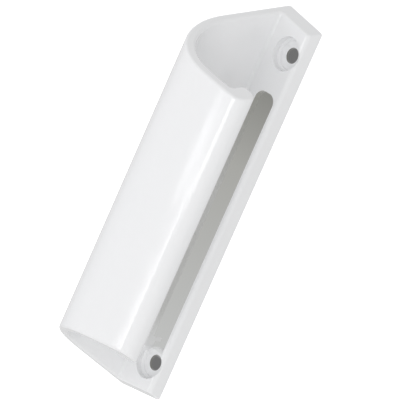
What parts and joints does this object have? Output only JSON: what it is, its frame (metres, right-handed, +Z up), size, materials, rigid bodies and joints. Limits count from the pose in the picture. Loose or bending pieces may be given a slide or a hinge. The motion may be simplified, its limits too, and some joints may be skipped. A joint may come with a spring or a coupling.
{
  "type": "balcony door pull handle",
  "caption": "Hook-section pull handle moulded in one piece, with a narrow slotted screw base, a broad rounded front and a thick finger lip, both ends cut obliquely.",
  "frame": {"origin": "half way between the screw holes, on the back face that lies on the door", "axes": "+Z up along the handle, +Y into the door, +X towards the finger side"},
  "size_m": [0.0403, 0.046, 0.119],
  "materials": {
    "white_plastic": "polished mould finish"
  },
  "bodies": {
    "root": {"handle_body": "white_plastic"}
  },
  "joints": []
}
